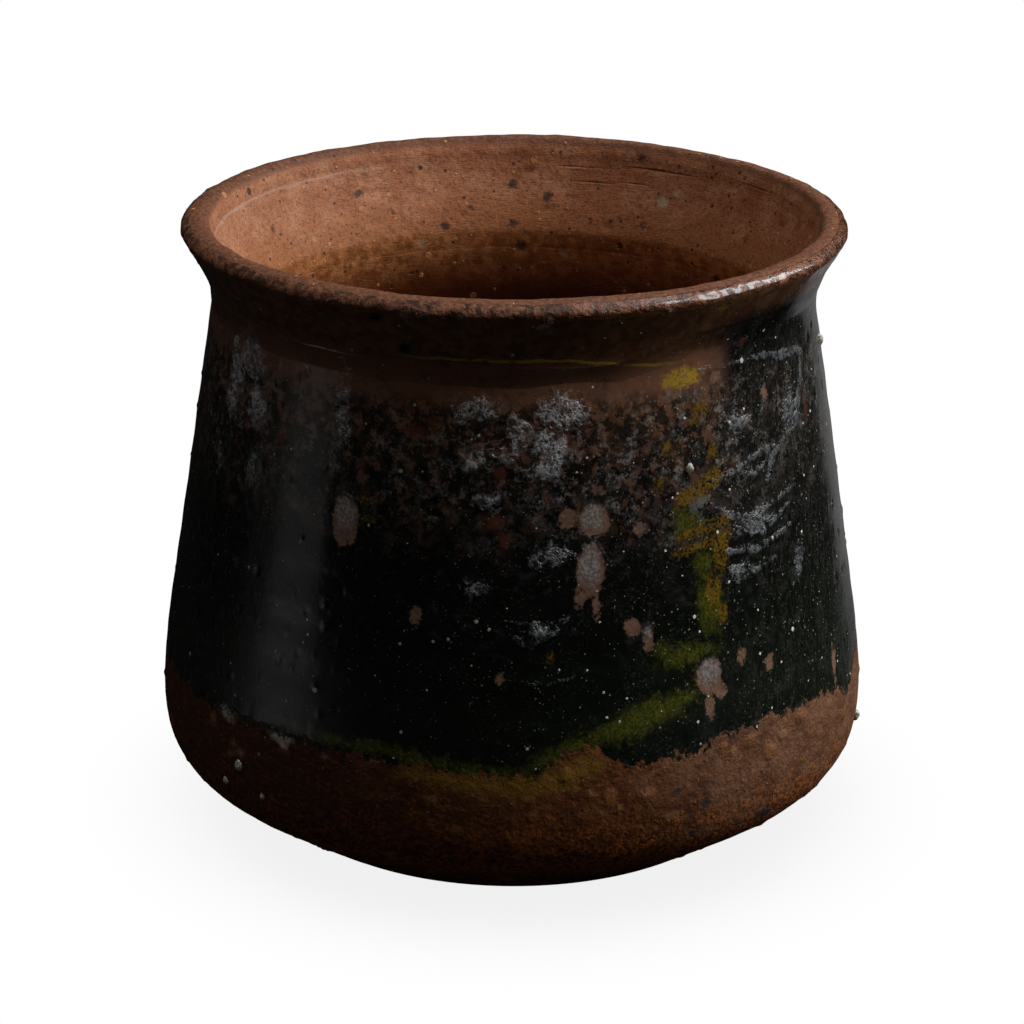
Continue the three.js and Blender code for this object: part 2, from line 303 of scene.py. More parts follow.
# Pinkish spots where a stone under the glaze drew it thin, grey in the middle
PINK = [
    (13.7, 75, 2.6, 2.6), (9, 75.5, 1.4, 1.7), (12.7, 66.6, 2.4, 4.6), (11, 62, 1.1, 1.6),
    (13.6, 60.8, 0.8, 2.2), (22, 53.4, 0.9, 1.8), (21.3, 72.8, 0.8, 1.1), (19.4, 56.2, 1.3, 1.5),
    (-29, 72.6, 2.5, 4.3), (32.6, 45, 2.7, 3.2), (34.6, 42.4, 1.2, 1.6), (32.4, 39.6, 1.0, 1.8),
    (45.4, 44.2, 1.2, 1.4), (39.3, 47, 1.0, 1.3), (65, 37, 0.9, 3.2), (-15.5, 58.6, 1.0, 1.3),
    (50.8, 90.8, 1.0, 1.2), (38.5, 96.2, 1.1, 1.0), (-2, 48.5, 0.7, 0.9),
]
ASH = [
    (13.4, 75.7, 1.9, 2.0), (12.7, 67.6, 1.6, 3.4), (-29, 74.4, 1.9, 2.6), (32.4, 45.8, 2.0, 2.2),
    (22, 55, 0.6, 0.9),
]
# Red-brown spots of iron, and blots of it in the clay
IRON = [
    (-16.5, 89.6, 1.3, 1.2), (8.9, 88.8, 1.2, 1.1), (-2.2, 83.5, 1.0, 0.9), (-3.1, 75.4, 1.4, 1.6),
    (-1.5, 72.2, 1.0, 1.1), (-26.6, 83, 1.0, 1.2), (-44.4, 84.4, 1.1, 1.5), (65, 84.8, 0.6, 2.2),
    (50, 108.5, 0.9, 1.3), (42, 107.6, 1.2, 1.5), (56, 104, 0.7, 1.0), (45, 102, 0.8, 1.2),
]
# Pale scum that dried on the glaze in lace-like patches, and in wrinkles on the right. Its whitest parts and
# the pale wrinkle lines are partly painted highlight, where the key light catches the crusty relief.
SCUM = [
    (-6.6, 94, 2.6, 1.9), (8.3, 93.6, 3.6, 2.8), (6.1, 87.4, 2.8, 2.8), (-6.8, 85.6, 2.0, 1.4),
    (-2.5, 86.6, 1.6, 1.3), (5.2, 84.2, 2.4, 1.6), (-4.6, 78.6, 1.8, 1.3), (1, 90, 1.4, 2.6),
    (6.4, 69.6, 2.6, 1.2), (-6.3, 63.6, 1.4, 1.0), (4, 56, 1.8, 0.9), (-55.6, 95, 4.0, 3.4),
    (-60, 90, 2.4, 6.0), (-52, 88, 2.4, 3.0), (-15, 111.9, 1.6, 0.5), (-7, 112, 1.0, 0.4),
    (5, 110.6, 0.7, 0.9), (-51.6, 77.1, 1.2, 2.2), (-62.8, 74.8, 1.0, 1.4), (-50.8, 32.3, 2.2, 1.0),
    (-38, 31.9, 2.4, 0.9), (-31, 91, 1.0, 4), (40, 62, 2.0, 1.2), (45, 69, 3.2, 1.6), (58, 86, 1.8, 3.0),
    (43, 87, 2, 1.4), (56, 60, 1.2, 2.2),
]
WRINKLES = [
    [(35, 97.9, 0.4), (42, 97.8, 0.3), (50.6, 97.4, 0.6), (56, 96.2, 1.0), (66, 94.7, 0.5)],
    [(50.6, 97.4, 0.3), (48, 100.5, 0.2)],
    [(64.8, 94, 0.4), (64, 90, 0.8), (62, 87, 1.0), (59.8, 83, 0.7), (52.3, 80.7, 0.7), (49, 76, 0.5)],
    [(52, 81.3, 0.7), (45.4, 80.7, 0.5), (41.7, 79.3, 0.5), (34.8, 78.6, 0.3)],
    [(41.7, 79.3, 0.4), (46, 77.6, 0.4), (51, 80, 0.3)],
    [(35, 75, 0.3), (38.5, 72.3, 0.6), (43.7, 70.5, 0.7), (57.2, 73, 0.3)],
    [(40, 69, 0.4), (46, 67, 0.4), (54.7, 70.5, 0.3)],
    [(-1.5, 58.6, 0.1), (4, 57.9, 0.3), (9.6, 58.8, 0.1)],
    [(9, 58.4, 0.1), (6, 55.6, 0.3), (2.5, 57.2, 0.1)], [(-1, 48.3, 0), (5, 47.5, 0.3), (9.5, 48.4, 0)],
    [(1, 79.4, 0.1), (5, 78.4, 0.3), (10, 79.2, 0.1)],
    [(-6.4, 80, 0.1), (-5.6, 77.6, 0.4), (-2.6, 77.4, 0.3), (0.6, 78.6, 0.1)],
    [(37.6, 66, 0.6), (44.6, 64.8, 0.6), (54.7, 66.7, 0.3)],
    [(39.2, 60.3, 0.5), (44, 61.2, 0.4), (49.3, 62, 0.3)],
]
# Drops and grains on the bare clay
BLOTS = [
    (25.9, 26.1, 0.9, 0.9), (30.9, 22.5, 1.0, 0.9), (32.5, 30.1, 0.7, 0.7), (43.9, 15.9, 2.0, 1.0),
    (29.1, 17, 0.9, 0.7), (-22.7, 110, 1.2, 0.9), (-19, 104, 1.1, 1.0), (-51, 112.9, 1.6, 0.6),
]
LUMPS = [
    (43.7, 28.3, 1.5, 1.3), (51.6, 32.1, 1.3, 1.1), (20.8, 26.3, 1.3, 1.0), (24.8, 21.2, 1.5, 1.0),
    (40, 31.6, 1.2, 0.9), (36, 30.5, 0.9, 0.7), (47, 30, 0.9, 0.8), (3, 24, 0.9, 0.8), (12, 27.5, 0.8, 0.7),
    (-12, 26, 0.8, 0.7), (58, 26, 0.8, 0.8),
]
WRINKLE_TRIM = 0.15
BEHIND = (86, 274)
ALL_ROUND = (-180, 180)


def mark_wall(piece, turn, height, radius):
    """Keeps the marks of the outside wall on a piece, the listed ones and chance ones, mostly behind."""
    where = turn, height, radius
    behind_pink = scatter(16, 21, BEHIND, (38, 90), (0.8, 2.4), 1.3)
    ochre_behind = scatter(12, 22, BEHIND, (34, 88), (0.6, 2.2), 1.2)
    store(piece, "ochre", np.maximum(patch(where, OCHRE + ochre_behind), stroke(where, OCHRE_LINES)))
    store(piece, "olive", np.maximum(patch(where, OLIVE), stroke(where, OLIVE_LINES)))
    store(piece, "pink", patch(where, PINK + behind_pink))
    store(piece, "ash", patch(where, ASH + [(t, h + 0.6, w * 0.6, k * 0.55) for t, h, w, k in behind_pink]))
    store(piece, "iron", patch(where, IRON + scatter(14, 23, BEHIND, (70, 95), (0.6, 1.4))))
    store(piece, "scum", patch(where, SCUM + scatter(22, 24, BEHIND, (45, 96), (1.2, 3.6), 0.5)))
    store(piece, "wrinkle", stroke(where, WRINKLES) - WRINKLE_TRIM)
    store(piece, "lump", patch(where, LUMPS + scatter(70, 26, ALL_ROUND, (5, 32), (0.5, 1.1))))
    store(piece, "blot", patch(where, BLOTS + scatter(12, 25, BEHIND, (12, 30), (0.5, 1.4))))


def wheel_relief(turn, height, radius):
    """The soft rings that the thrower's fingers leave, which wander a little as they rise."""
    wander = 0.9 * np.sin(np.radians(turn + 30)) + 0.5 * np.sin(height / 7.3)
    rings = np.cos((height - RING_START) * math.tau / RING_PITCH + wander)
    return RING_RELIEF * rings * ramp(height, 26, 40) * ramp(height, 107, 96)


turn, height, radius = where = whereabouts(clay)
on_outside = radius > wall_radius(height) - 1.5
on_inside = ~on_outside & (height > FLOOR[1] - 0.5) & (height < 112)
edge = height - drip_edge(turn)
covered = ramp(edge, 1.2, 2.6) * ramp(top_edge(turn) - height, 1.2, 2.6) * on_outside
lined = ramp(LINING_TOP - height, 1.5, 3) * on_inside
standing = ramp(height, 0.2, 2.5)
relief = unevenness(clay) + CLAY_LUMPINESS * lumps(clay, *SKIN_LUMPS) + wheel_relief(*where) * on_outside
relief += LIP_LUMPINESS * lumps(clay, *LIP_LUMPS) * ramp(height, 108.5, 111)
relief += TURNING_DEPTH * np.sin(height * math.tau / TURNING_PITCH) * ramp(height, 13, 8) * on_outside
relief += bumps(turn, height, scatter(260, 4, ALL_ROUND, (3, 34), (0.3, 0.75)), 0.45) * on_outside
relief += bumps(turn, height, scatter(150, 5, ALL_ROUND, (103, 113), (0.3, 0.7)), 0.4)
relief += bumps(turn, height, scatter(60, 6, ALL_ROUND, (97, 110), (0.4, 0.9)), -0.5) * on_inside
x, y = radius * np.sin(np.radians(turn)), radius * np.cos(np.radians(turn))
from_pull = np.hypot(x - WIRE_CENTRE[0], y - WIRE_CENTRE[1])
wire_cut = WIRE_DEPTH * np.sin(from_pull * math.tau / WIRE_PITCH) * (height < 1.3) * (radius < 36)
press(clay, relief * standing - COAT_RECESS * covered - COAT_RECESS * lined + wire_cut)
store(clay, "edge", np.where(on_outside, edge, FAR_OUTSIDE))
mark_wall(clay, *where)


class Finish:
    """One surface finish, built up of nodes. Places and relief are in millimetres, turns in degrees."""

    def __init__(self, name):
        self.material = bpy.data.materials.new(name)
        self.material.use_nodes = True
        self.tree = self.material.node_tree
        self.shader = self.tree.nodes["Principled BSDF"]
        start = self.tree.nodes.new("ShaderNodeTexCoord").outputs["Object"]
        self.place = self.add("ShaderNodeVectorMath", {0: start, 1: (1 / MM,) * 3}, operation="MULTIPLY")
        axes = self.tree.nodes.new("ShaderNodeSeparateXYZ")
        self.tree.links.new(self.place, axes.inputs[0])
        x, y, self.height = axes.outputs
        around = self.calc("ARCTAN2", x, self.calc("MULTIPLY", y, -1.0))
        self.turn = self.calc("MULTIPLY", around, math.degrees(1))
        # The same at the back as in front, so that no colour breaks off behind
        folded = self.calc("ARCSINE", self.calc("SINE", around, 0), 0)
        self.side = self.calc("MULTIPLY", folded, math.degrees(1))

    def add(self, kind, inputs, output=0, **settings):
        node = self.tree.nodes.new(kind)
        for name, value in settings.items():
            setattr(node, name, value)
        for name, value in inputs.items():
            if isinstance(value, bpy.types.NodeSocket):
                self.tree.links.new(value, node.inputs[name])
            else:
                node.inputs[name].default_value = value
        return node.outputs[output]

    def calc(self, operation, first, second):
        return self.add("ShaderNodeMath", {0: first, 1: second}, operation=operation)

    def times(self, first, *others):
        for other in others:
            first = self.calc("MULTIPLY", first, other)
        return first

    def plus(self, first, *others):
        for other in others:
            first = self.calc("ADD", first, other)
        return first

    def rise(self, value, low, high):
        """From 0 at low to 1 at high, smoothly, or falling where low is the higher."""
        inputs = {0: value, 1: low, 2: high}
        return self.add("ShaderNodeMapRange", inputs, interpolation_type="SMOOTHSTEP")

    def mix(self, share, first, second):
        """A colour between two."""
        first, second = (c if isinstance(c, bpy.types.NodeSocket) else (*c, 1) for c in (first, second))
        return self.add("ShaderNodeMix", {0: share, 6: first, 7: second}, output=2, data_type="RGBA")

    def level(self, share, first, second):
        """A number between two."""
        return self.add("ShaderNodeMix", {0: share, 2: first, 3: second}, data_type="FLOAT")

    def grain(self, size, detail=3.0, stretch=1.0, seed=0.0, rough=0.6, warp=0.0):
        """Cloudy noise with lumps about that many millimetres wide, drawn out upwards by the stretch."""
        settings = {"Scale": (1 / size, 1 / size, 1 / (size * stretch)), "Location": (seed, seed, seed)}
        vector = self.add("ShaderNodeMapping", {"Vector": self.place, **settings})
        inputs = {"Vector": vector, "Scale": 1.0, "Detail": detail, "Roughness": rough, "Distortion": warp}
        return self.add("ShaderNodeTexNoise", inputs)

    def dots(self, pitch, size, share, seed=0.0):
        """Soft round dots, one to a cell of the pitch, in a share of the cells."""
        settings = {"Scale": (1 / pitch,) * 3, "Location": (seed, seed, seed)}
        vector = self.add("ShaderNodeMapping", {"Vector": self.place, **settings})
        cells = self.tree.nodes.new("ShaderNodeTexVoronoi")
        self.tree.links.new(vector, cells.inputs["Vector"])
        cells.inputs["Scale"].default_value = 1
        parts = self.tree.nodes.new("ShaderNodeSeparateColor")
        self.tree.links.new(cells.outputs["Color"], parts.inputs[0])
        width = self.level(parts.outputs[0], 0.35 * size / pitch, size / pitch)
        near = self.rise(self.calc("DIVIDE", cells.outputs["Distance"], width), 1.15, 0.8)
        return self.times(near, self.calc("LESS_THAN", parts.outputs[1], share))

    def net(self, pitch, width, seed=0.0):
        """Wandering threads between cells of the pitch."""
        settings = {"Scale": (1 / pitch,) * 3, "Location": (seed, seed, seed)}
        vector = self.add("ShaderNodeMapping", {"Vector": self.place, **settings})
        sway = self.add("ShaderNodeTexNoise", {"Vector": vector, "Scale": 1.3, "Detail": 3.0}, output=1)
        push = {0: sway, 1: (1.6,) * 3, 2: vector}
        pushed = self.add("ShaderNodeVectorMath", push, operation="MULTIPLY_ADD")
        inputs = {"Vector": pushed, "Scale": 1.0}
        gap = self.add("ShaderNodeTexVoronoi", inputs, feature="DISTANCE_TO_EDGE")
        return self.rise(gap, width, 0.2 * width)

    def kept(self, name):
        return self.add("ShaderNodeAttribute", {}, output=2, attribute_name=name)

    def mark(self, name, ragged, soft, wobble):
        """Where a kept mark covers the surface, with its edge broken up by some noise."""
        inside = self.plus(self.kept(name), self.times(self.plus(wobble, -0.5), ragged))
        return self.rise(inside, -soft, soft)

    def finish(self, colour, roughness, relief):
        for name, value in (("Base Color", colour), ("Roughness", roughness)):
            self.tree.links.new(value, self.shader.inputs[name])
        bump = self.add("ShaderNodeBump", {"Height": relief, "Distance": MM, "Strength": 1.0})
        self.tree.links.new(bump, self.shader.inputs["Normal"])
        return self.material


# The clay's main colours, each from its darker to its lighter
BROWN_CLAY = (0.082, 0.022, 0.004), (0.13, 0.041, 0.008)
PINKISH_CLAY = (0.1, 0.04, 0.018), (0.158, 0.071, 0.037)
RUSTY_CLAY = (0.055, 0.01, 0.002), (0.33, 0.088, 0.01)


def bare_clay(f):
    """The colour, roughness and relief of the bare clay: mottled red and brown, with pale and dark grit."""
    cloud, sand, fine = f.grain(7, seed=2), f.grain(0.8, seed=5), f.grain(0.4, 2, seed=6)
    # Warm brown, pinker on the right under the glaze and redder towards the foot; painted shade darkens the
    # left.
    brown = f.mix(f.rise(cloud, 0.4, 0.62), *BROWN_CLAY)
    pinkish = f.mix(f.rise(cloud, 0.4, 0.62), *PINKISH_CLAY)
    drift = f.times(f.plus(cloud, -0.5), 30)
    colour = f.mix(f.rise(f.plus(f.side, drift), 12, 36), brown, pinkish)
    # Painted shade: the clay darkens towards the left, away from the key light
    colour = f.mix(f.times(f.rise(f.plus(f.side, drift), 4, -30), 0.92), colour, (0.034, 0.009, 0.003))
    # Pale grains, sand, light streaks and rust show less towards the shaded left: painted shade
    in_light = f.level(f.rise(f.side, -45, 10), 0.3, 1.0)
    sandy = f.mix(f.rise(f.side, 22, 48), (0.24, 0.09, 0.025), (0.26, 0.13, 0.072))
    colour = f.mix(f.times(f.rise(sand, 0.54, 0.68), in_light, 0.6), colour, sandy)
    colour = f.mix(f.times(f.rise(fine, 0.46, 0.3), 0.7), colour, (0.035, 0.01, 0.004))
    low = f.rise(f.plus(f.height, f.times(f.plus(f.grain(4, 4, seed=9), -0.5), 26)), 25, 10)
    rust = f.mix(f.rise(sand, 0.4, 0.58), *RUSTY_CLAY)
    colour = f.mix(f.times(low, f.level(in_light, 0.5, 0.92)), colour, rust)
    dark, pale = f.dots(2.6, 0.42, 0.45, seed=11), f.dots(1.3, 0.2, 0.5, seed=17)
    grit = f.dots(2.3, 0.5, 0.5, seed=19)
    colour = f.mix(f.times(dark, 0.75), colour, (0.03, 0.014, 0.01))
    colour = f.mix(f.times(pale, in_light, 0.7), colour, (0.42, 0.21, 0.07))
    colour = f.mix(f.times(grit, in_light, 0.5), colour, (0.36, 0.13, 0.035))
    streaks = f.grain(2.6, 4, stretch=0.35, seed=13, warp=0.8)
    colour = f.mix(f.times(f.rise(streaks, 0.55, 0.68), 0.55), colour, (0.05, 0.014, 0.006))
    colour = f.mix(f.times(f.rise(streaks, 0.44, 0.34), in_light, 0.4), colour, (0.27, 0.1, 0.03))
    wobble = f.grain(1.6, seed=8)
    lump = f.mark("lump", 1.0, 0.8, wobble)
    colour = f.mix(f.times(lump, 0.4), colour, (0.32, 0.15, 0.055))
    colour = f.mix(f.times(f.mark("ochre", 4.5, 1.8, wobble), 0.85), colour, (0.17, 0.088, 0.01))
    colour = f.mix(f.times(f.mark("scum", 2.6, 0.6, wobble), 0.8), colour, (0.33, 0.28, 0.23))
    colour = f.mix(f.mark("blot", 0.8, 0.2, wobble), colour, (0.035, 0.032, 0.034))
    coarse = f.level(f.rise(f.height, 28, 10), 0.12, 0.4)
    relief = f.plus(f.times(sand, coarse), f.times(pale, 0.14), f.times(dark, -0.06), f.times(grit, 0.4))
    relief = f.plus(relief, f.times(fine, 0.05), f.times(f.grain(2.2, seed=27), 0.4))
    relief = f.plus(relief, f.times(lump, 0.3))
    shine = f.calc("MAXIMUM", f.calc("MAXIMUM", f.times(pale, 0.8), f.times(grit, 0.6)), lump)
    return colour, f.level(shine, 0.75, 0.3), relief


# The glaze's main colours, and the yellow thread of glaze under the neck
BLACK_GLAZE, GREENISH_GLAZE = (0.004, 0.0042, 0.0036), (0.003, 0.0052, 0.0024)
BROWN_GLAZE = (0.1, 0.042, 0.018), (0.17, 0.078, 0.038)
OLIVE_GLAZE = (0.032, 0.036, 0.003), (0.085, 0.09, 0.01)
YELLOW_GLAZE = (0.06, 0.034, 0.004), (0.15, 0.085, 0.009)
THREAD_HEIGHT, THREAD_COLOUR = 102.6, (0.42, 0.29, 0.03)


def outer_wall(f):
    """Bare clay below, then black glaze with a ragged fringe, and brown glaze up to the lip."""
    clay_colour, clay_roughness, clay_relief = bare_clay(f)
    fringe, blot = f.grain(1.0, 4, stretch=1.4, seed=3), f.grain(4.5, seed=21)
    fine, patchy = f.grain(0.5, 2, seed=25), f.grain(2.4, 4, seed=31, warp=0.6)
    ragged = f.plus(f.kept("edge"), f.times(f.plus(fringe, -0.5), 5), f.times(f.plus(patchy, -0.5), 5))
    glazed = f.rise(ragged, -0.35, 0.5)
    right = f.rise(f.plus(f.side, f.times(f.plus(blot, -0.5), 10)), 34, 44)
    lit = f.rise(f.side, -25, 40)
    drift = f.times(f.plus(blot, -0.5), 22)
    # From black up to brown, the brown stopping short on the right, where the black glaze runs up to the rim
    black = f.mix(f.rise(f.height, 70, 42), BLACK_GLAZE, GREENISH_GLAZE)
    brown = f.mix(f.rise(patchy, 0.4, 0.62), *BROWN_GLAZE)
    brown = f.mix(f.times(f.rise(f.height, 93, 96), f.rise(f.height, 103, 100)), brown, (0.2, 0.09, 0.05))
    up_to_rim = f.level(right, 1.0, f.rise(f.height, 105, 109))
    browned = f.times(f.rise(f.plus(f.height, drift), 82, 96), up_to_rim)
    glaze = f.mix(browned, black, brown)
    zone = f.times(f.rise(f.plus(f.height, drift), 66, 84), f.rise(f.height, 98, 92))
    mottled = f.times(zone, f.rise(patchy, 0.44, 0.62), f.level(right, 0.75, 0.15))
    glaze = f.mix(mottled, glaze, (0.14, 0.068, 0.042))
    # Grey haze, thickest above the middle and on the right, with dust in it, partly painted light, and fine
    # streaks down the sides
    sideways = f.level(f.rise(f.side, -12, 22), 0.5, 1.0)
    sideways = f.times(sideways, f.level(f.rise(f.side, 34, 50), 1.0, 0.45))
    cloudy = f.rise(f.plus(f.times(f.grain(3, 6, seed=35, rough=0.72), 0.7), f.times(fine, 0.3)), 0.49, 0.6)
    glaze = f.mix(f.times(zone, cloudy, sideways, 0.9), glaze, (0.2, 0.185, 0.168))
    spots = f.times(zone, f.rise(f.grain(1.9, 5, seed=36, rough=0.7), 0.47, 0.53))
    glaze = f.mix(f.times(spots, 0.85), glaze, (0.006, 0.006, 0.005))
    smudge = f.rise(f.grain(3.5, 5, stretch=0.6, seed=49, rough=0.65), 0.55, 0.68)
    glaze = f.mix(f.times(smudge, f.rise(f.height, 44, 60), 0.5), glaze, (0.03, 0.03, 0.033))
    veil = f.rise(f.grain(4, 6, seed=38, rough=0.7), 0.48, 0.68)
    veil = f.times(veil, f.level(f.rise(f.side, 5, 45), 0.05, 0.25))
    glaze = f.mix(veil, glaze, (0.05, 0.054, 0.047))
    # Fine grey dust, shown mostly on the lit side: partly painted light
    dust_and_painted_light = f.times(f.rise(fine, 0.52, 0.75), f.rise(f.grain(7, 3, seed=39), 0.36, 0.6))
    dust_and_painted_light = f.times(dust_and_painted_light, f.level(lit, 0.15, 0.6))
    glaze = f.mix(dust_and_painted_light, glaze, (0.07, 0.07, 0.055))
    from_middle = f.rise(f.calc("ABSOLUTE", f.turn, 0), 20, 60)
    hair = f.times(f.rise(f.grain(0.35, 2, stretch=9, seed=45), 0.5, 0.72), from_middle)
    glaze = f.mix(f.times(hair, 0.4), glaze, (0.05, 0.05, 0.042))
    # The marks
    wobble = f.plus(f.times(f.grain(1.3, seed=51), 0.6), f.times(fine, 0.4))
    loose = f.grain(2.6, 4, seed=52, warp=1.0)
    olive = f.times(f.mark("olive", 7, 1.6, loose), 0.9)
    glaze = f.mix(olive, glaze, f.mix(f.rise(fine, 0.35, 0.65), *OLIVE_GLAZE))
    broken = f.rise(f.plus(f.times(fine, 0.5), f.times(loose, 0.5)), 0.34, 0.56)
    ochre = f.times(f.mark("ochre", 3.0, 0.6, wobble), broken)
    yellow = f.mix(f.rise(fine, 0.3, 0.6), *YELLOW_GLAZE)
    golden = f.times(f.rise(f.height, 92, 95), f.rise(f.side, 25, 28))
    glaze = f.mix(ochre, glaze, f.mix(golden, yellow, (0.42, 0.26, 0.03)))
    sway = f.plus(f.times(f.plus(blot, -0.5), 1.2), f.times(f.rise(f.side, 4, 32), 2.6), -THREAD_HEIGHT)
    thread = f.rise(f.calc("ABSOLUTE", f.plus(f.height, sway), 0), 0.42, 0.1)
    thread = f.times(thread, f.rise(f.side, -24, -10), f.rise(f.side, 31, 26), f.rise(patchy, 0.3, 0.5))
    glaze = f.mix(f.times(thread, 0.85), glaze, THREAD_COLOUR)
    iron = f.mark("iron", 2.0, 0.6, wobble)
    glaze = f.mix(f.times(iron, 0.75), glaze, (0.1, 0.033, 0.018))
    glaze = f.mix(f.mark("blot", 1.6, 0.4, wobble), glaze, (0.008, 0.013, 0.009))
    uneven = f.plus(f.times(wobble, 0.5), f.times(loose, 0.5))
    pink, ash = f.mark("pink", 4.0, 0.3, uneven), f.mark("ash", 3.0, 0.9, loose)
    pink_colour = f.mix(f.rise(fine, 0.3, 0.7), (0.13, 0.068, 0.04), (0.21, 0.12, 0.08))
    ash_colour = f.mix(f.rise(fine, 0.4, 0.65), (0.14, 0.12, 0.11), (0.34, 0.31, 0.29))
    glaze = f.mix(f.times(pink, 0.95), glaze, pink_colour)
    glaze = f.mix(f.times(ash, 0.85), glaze, ash_colour)
    clots = f.rise(f.grain(1.7, 6, seed=58, rough=0.75), 0.5, 0.62)
    net = f.calc("MAXIMUM", f.net(1.5, 0.1, seed=55), f.times(f.net(0.7, 0.12, seed=56), 0.5))
    net = f.times(net, f.rise(f.grain(2.4, 3, seed=57), 0.36, 0.54))
    lace = f.calc("MAXIMUM", net, f.times(clots, 0.85))
    scummed = f.mark("scum", 9.0, 0.9, f.plus(f.times(loose, 0.7), f.times(wobble, 0.3)))
    crater = f.dots(2.7, 0.8, 0.6, seed=66)
    scum = f.times(scummed, f.level(lace, 0.06, 1.0), f.level(crater, 1.0, 0.15))
    # The whitest scum, above the middle, is partly a painted highlight of the key light on its crust
    whitish_with_painted_highlight = f.mix(f.rise(f.height, 80, 86), (0.26, 0.27, 0.29), (0.54, 0.53, 0.54))
    glaze = f.mix(f.times(scum, 0.9), glaze, f.mix(f.rise(f.side, 14, 34), whitish_with_painted_highlight, (0.19, 0.205, 0.22)))
    torn = f.plus(f.times(loose, 0.6), f.times(fine, 0.4))
    wrinkle = f.times(f.mark("wrinkle", 3.0, 0.35, torn), f.level(f.rise(torn, 0.36, 0.6), 0.1, 1.0))
    # Pale wrinkle lines: scum, with a painted highlight along their ridges
    glaze = f.mix(f.times(wrinkle, 0.55), glaze, (0.17, 0.185, 0.195))
    # Pale dots, brightest on the lit side: painted glints of the key light on tiny bumps in the glaze
    painted_sparkle = f.times(f.dots(0.8, 0.16, 0.6, seed=41), f.rise(loose, 0.4, 0.56))
    painted_sparkle = f.calc("MAXIMUM", painted_sparkle, f.dots(1.7, 0.2, 0.45, seed=42))
    painted_glint = f.calc("MAXIMUM", f.dots(2.7, 0.3, 0.5, seed=43), f.dots(5.6, 0.55, 0.5, seed=44))
    glaze = f.mix(f.times(painted_sparkle, f.level(lit, 0.3, 0.75)), glaze, (0.34, 0.34, 0.27))
    glaze = f.mix(f.times(painted_glint, f.level(lit, 0.4, 1.0)), glaze, (0.7, 0.67, 0.57))
    near_lip = f.rise(f.plus(f.height, f.times(f.plus(patchy, -0.5), 3)), 110.9, 112)
    lip_patches = f.rise(f.plus(f.times(patchy, 0.6), f.times(fringe, 0.4)), 0.42, 0.58)
    lip_colour = f.mix(lip_patches, (0.042, 0.014, 0.006), (0.17, 0.064, 0.03))
    glaze = f.mix(near_lip, glaze, lip_colour)
    colour = f.mix(glazed, clay_colour, glaze)
    rough_spots = f.calc("MAXIMUM", f.calc("MAXIMUM", pink, wrinkle), f.times(zone, cloudy, sideways, 0.5))
    gloss = f.level(f.grain(1.5, 2, seed=57), 0.12, 0.22)
    gloss = f.level(f.rise(f.height, 60, 36), gloss, 0.34)
    gloss = f.level(f.times(rough_spots, 0.5), gloss, 0.55)
    gloss = f.level(near_lip, gloss, f.level(f.rise(f.side, -10, 24), 0.7, 0.24))
    roughness = f.level(glazed, clay_roughness, gloss)
    pits = f.dots(2.1, 0.24, 0.35, seed=71)
    skin = f.plus(f.times(f.grain(1.5, 2, seed=61), 0.02), f.times(pits, -0.05), f.times(painted_glint, 0.08), 0.36)
    froth = f.plus(f.grain(2.0, 2, seed=63), f.times(crater, -0.5))
    skin = f.plus(skin, f.times(f.mark("scum", 4, 2, loose), froth, 0.7), f.times(near_lip, fringe, 0.45))
    skin = f.plus(skin, f.times(scum, 0.1), f.times(wrinkle, 0.1))
    skin = f.plus(skin, f.times(hair, 0.006), f.times(dust_and_painted_light, 0.02))
    in_front = f.rise(f.calc("ABSOLUTE", f.turn, 0), 150, 120)
    shining = f.level(f.rise(fringe, 0.56, 0.44), 0.12, 1.0)
    coated = f.times(in_front, f.rise(f.side, 4, 30), f.rise(f.height, 108, 110), shining)
    wet_grit = f.times(f.rise(clay_roughness, 0.65, 0.3), in_front, 0.9)
    f.tree.links.new(f.level(glazed, wet_grit, coated), f.shader.inputs["Coat Weight"])
    f.shader.inputs["Coat Roughness"].default_value = 0.1
    return colour, roughness, f.level(glazed, clay_relief, skin)


# The flare's own marks, seen from above: dark iron spots, and pale ones with a touch of yellow
IRON_INSIDE = [
    (-179.6, 104.7, 1.0, 0.9), (178.4, 93.2, 1.2, 1.1), (172.9, 102.5, 1.0, 1.0), (-179.5, 97.5, 0.9, 0.7),
    (-163.8, 97.4, 0.9, 0.8), (127.9, 92, 1.0, 0.9), (-144.8, 105.1, 1.0, 0.8), (153, 111, 1.0, 0.8),
    (-152, 101, 0.5, 0.5), (-170, 100.5, 0.6, 0.5), (150, 99, 0.6, 0.6), (120, 101, 0.5, 0.5),
    (-118, 103, 0.6, 0.7),
]
PALE_INSIDE = [
    (146.4, 103.6, 1.2, 1.0), (143.5, 105.7, 0.8, 0.6), (168.5, 91.6, 0.7, 0.6), (-158, 94.5, 0.9, 0.8),
    (-130, 99, 0.5, 0.5),
]
# Two thin cuts that a tool left in the flare, on the right
INNER_CUTS = [
    [(118, 110.4, -0.2), (130, 109.9, 0), (143, 109.3, 0), (156, 108.8, 0), (171, 108.2, -0.2)],
    [(150, 106.4, -0.2), (160, 105.8, -0.1), (172, 105.4, -0.3)],
]
FLARE_CLAY = (0.29, 0.1, 0.042), (0.38, 0.16, 0.078)
# The lining's colours, and its darker colour deep down: painted shade inside the pot
LINING_COLOURS, DEEP_LINING_SHADE = ((0.46, 0.185, 0.068), (0.27, 0.095, 0.03)), (0.08, 0.018, 0.004)
GROOVE_HIGHLIGHT_HEIGHT = 109.3


